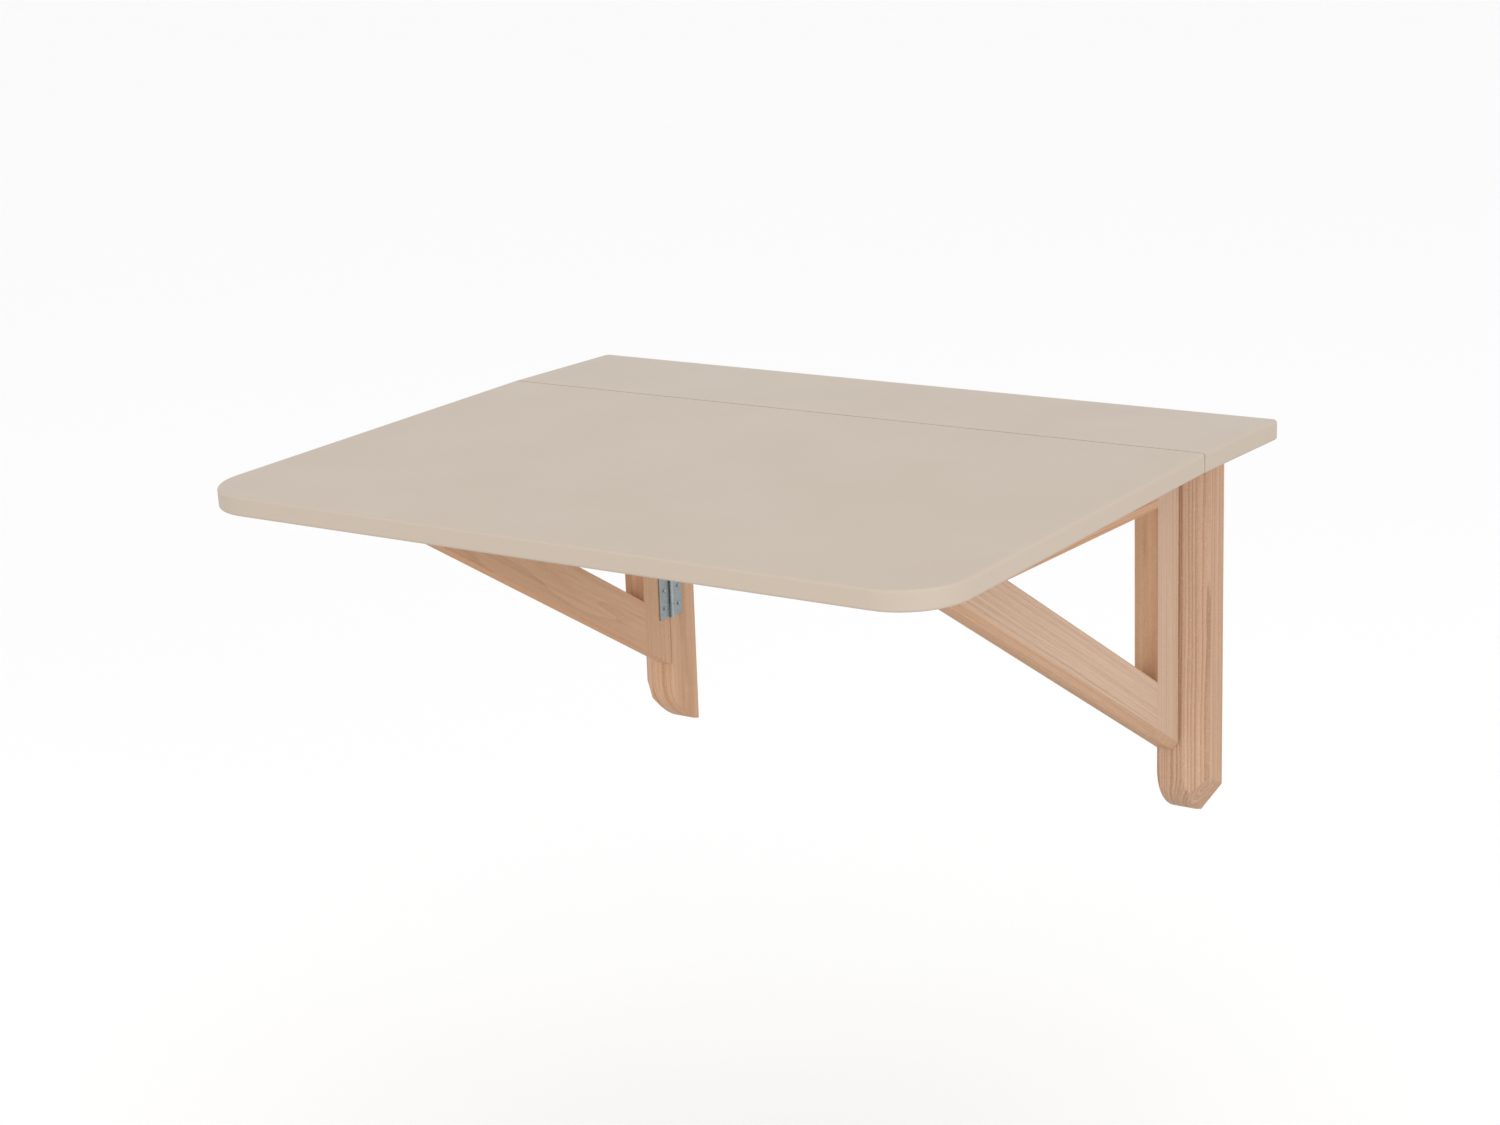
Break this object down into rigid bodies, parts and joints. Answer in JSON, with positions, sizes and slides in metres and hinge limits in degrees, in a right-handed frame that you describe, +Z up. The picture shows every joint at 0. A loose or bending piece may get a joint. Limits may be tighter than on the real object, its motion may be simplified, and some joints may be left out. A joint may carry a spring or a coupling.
{
  "type": "drop leaf table",
  "caption": "Wall-mounted drop leaf table: a fixed strip and a hinged leaf with rounded front corners, held up by triangular wooden brackets that swing in against the wall.",
  "frame": {"origin": "middle of the back strip's rear edge, half way through the board, on the wall plane", "axes": "+X along the wall to the right as seen from the room, +Y into the wall, +Z up"},
  "size_m": [0.75, 0.6002, 0.38],
  "materials": {
    "lacquered_board": "smooth satin greige lacquer on board",
    "oiled_wood": "straight-grained solid wood, lightly oiled",
    "beech_dowel": "plain turned beech",
    "zinc_plate": "bright zinc-plated pressed steel",
    "screw_steel": "zinc-plated steel",
    "pin_steel": "drawn steel wire"
  },
  "bodies": {
    "wall_frame": {"back_strip": "lacquered_board", "corner_bracket_left": "zinc_plate", "corner_bracket_right": "zinc_plate", "corner_screws_left": "screw_steel", "corner_screws_right": "screw_steel", "hinge_left_lower_fixed_plate": "zinc_plate", "hinge_left_lower_pin": "pin_steel", "hinge_left_upper_fixed_plate": "zinc_plate", "hinge_left_upper_pin": "pin_steel", "hinge_right_lower_fixed_plate": "zinc_plate", "hinge_right_lower_pin": "pin_steel", "hinge_right_upper_fixed_plate": "zinc_plate", "hinge_right_upper_pin": "pin_steel", "seam_hinge_1_pin": "pin_steel", "seam_hinge_1_strip_plate": "zinc_plate", "seam_hinge_2_pin": "pin_steel", "seam_hinge_2_strip_plate": "zinc_plate", "seam_hinge_3_pin": "pin_steel", "seam_hinge_3_strip_plate": "zinc_plate", "seam_screws_strip": "screw_steel", "strip_dowels_left": "beech_dowel", "strip_dowels_right": "beech_dowel", "upright_hinge_screws_left": "screw_steel", "upright_hinge_screws_right": "screw_steel", "upright_left": "oiled_wood", "upright_right": "oiled_wood"},
    "bracket_left": {"bracket_brace_left": "oiled_wood", "bracket_dowels_left": "beech_dowel", "bracket_post_left": "oiled_wood", "bracket_rail_left": "oiled_wood", "hinge_left_lower_moving_plate": "zinc_plate", "hinge_left_upper_moving_plate": "zinc_plate", "post_hinge_screws_left": "screw_steel"},
    "bracket_right": {"bracket_brace_right": "oiled_wood", "bracket_dowels_right": "beech_dowel", "bracket_post_right": "oiled_wood", "bracket_rail_right": "oiled_wood", "hinge_right_lower_moving_plate": "zinc_plate", "hinge_right_upper_moving_plate": "zinc_plate", "post_hinge_screws_right": "screw_steel"},
    "leaf": {"drop_leaf": "lacquered_board", "seam_hinge_1_leaf_plate": "zinc_plate", "seam_hinge_2_leaf_plate": "zinc_plate", "seam_hinge_3_leaf_plate": "zinc_plate", "seam_screws_leaf": "screw_steel"}
  },
  "joints": [
    {"name": "bracket_left_swing", "type": "hinge", "parent": "wall_frame", "child": "bracket_left", "pos_m": [-0.2731, -0.04325, -0.1565], "axis": [0, 0, 1], "range_deg": [0, 90]},
    {"name": "bracket_right_swing", "type": "hinge", "parent": "wall_frame", "child": "bracket_right", "pos_m": [0.2731, -0.04325, -0.1565], "axis": [0, 0, -1], "range_deg": [0, 80]},
    {"name": "leaf_lift", "type": "hinge", "parent": "wall_frame", "child": "leaf", "pos_m": [0, -0.1504, -0.0119], "axis": [-1, 0, 0], "range_deg": [0, 3]}
  ]
}
